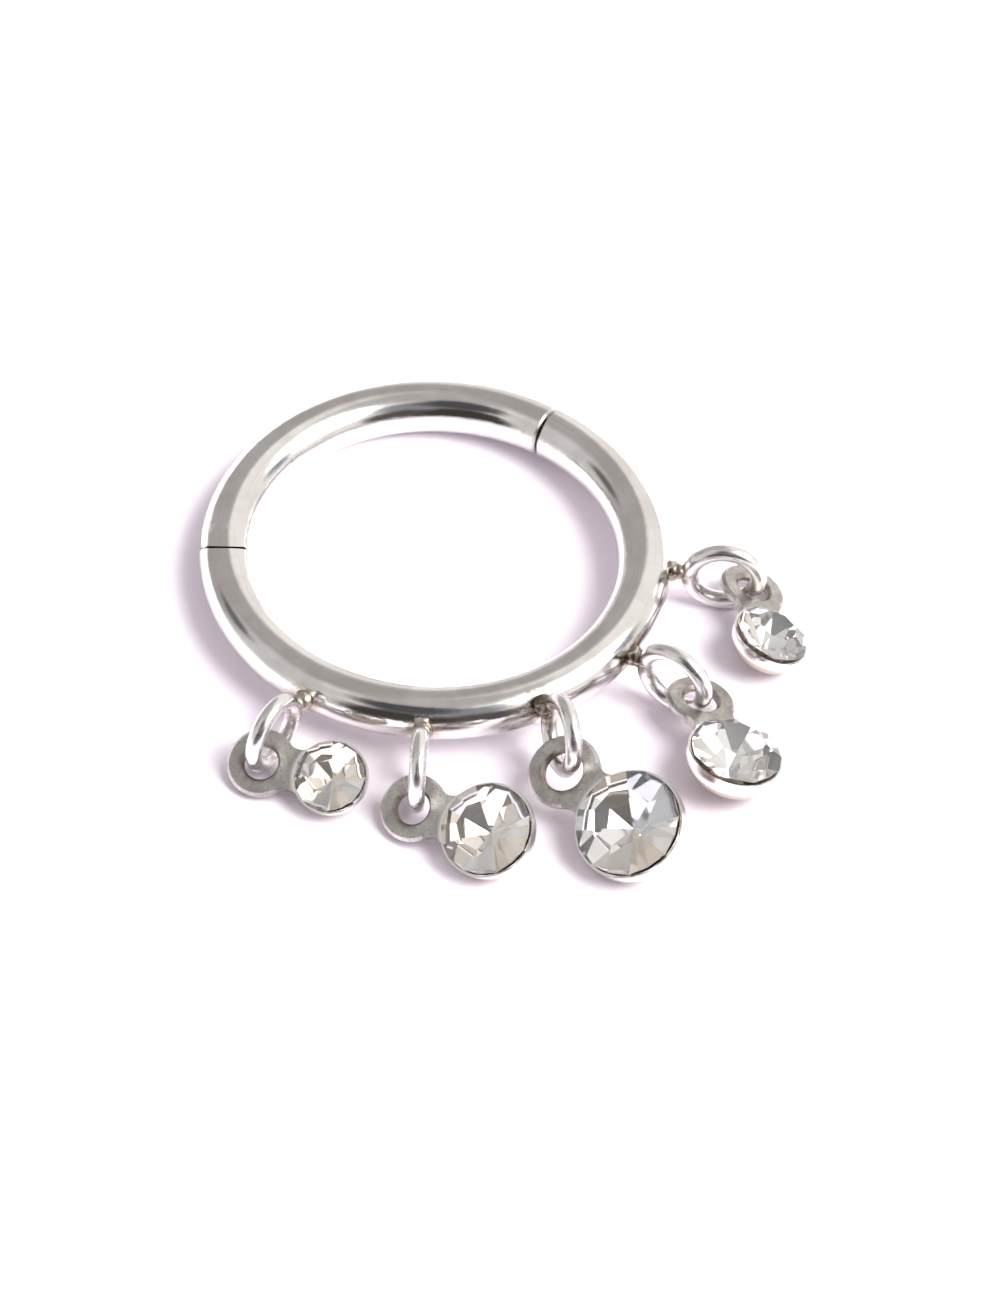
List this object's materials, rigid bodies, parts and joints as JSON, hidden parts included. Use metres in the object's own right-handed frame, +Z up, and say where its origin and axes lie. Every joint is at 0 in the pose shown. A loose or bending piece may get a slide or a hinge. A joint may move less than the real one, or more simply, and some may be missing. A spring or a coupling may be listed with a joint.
{
  "type": "hinged clicker ring with lying drops",
  "caption": "Round wire body-jewellery ring whose rear arc opens on a hidden hinge, with small stone-set drops in soldered loops along its front.",
  "frame": {"origin": "on the surface that the ring lies on, under the centre of its round wire", "axes": "+Z up from that surface, -Y towards the middle drop, +Y towards the gate that opens"},
  "size_m": [0.0148, 0.0167, 0.0026],
  "materials": {
    "polished_steel": "mirror polish, with the tint of solder at the loops",
    "pin_steel": "drawn wire",
    "plated_metal": "satin ears, brighter cups",
    "crystal": "clear, cut and foil backed"
  },
  "bodies": {
    "ring": {"ring_body": "polished_steel", "drop_1": "plated_metal", "drop_2": "plated_metal", "drop_3": "plated_metal", "drop_4": "plated_metal", "drop_5": "plated_metal", "stone_1": "crystal", "stone_2": "crystal", "stone_3": "crystal", "stone_4": "crystal", "stone_5": "crystal"},
    "gate": {"gate": "polished_steel", "hinge_pin": "pin_steel"}
  },
  "joints": [
    {"name": "gate_hinge", "type": "hinge", "parent": "ring", "child": "gate", "pos_m": [-0.00442, 0.00255, 0.00077], "axis": [0, 0.0471, 0.9989], "range_deg": [0, 60]}
  ]
}
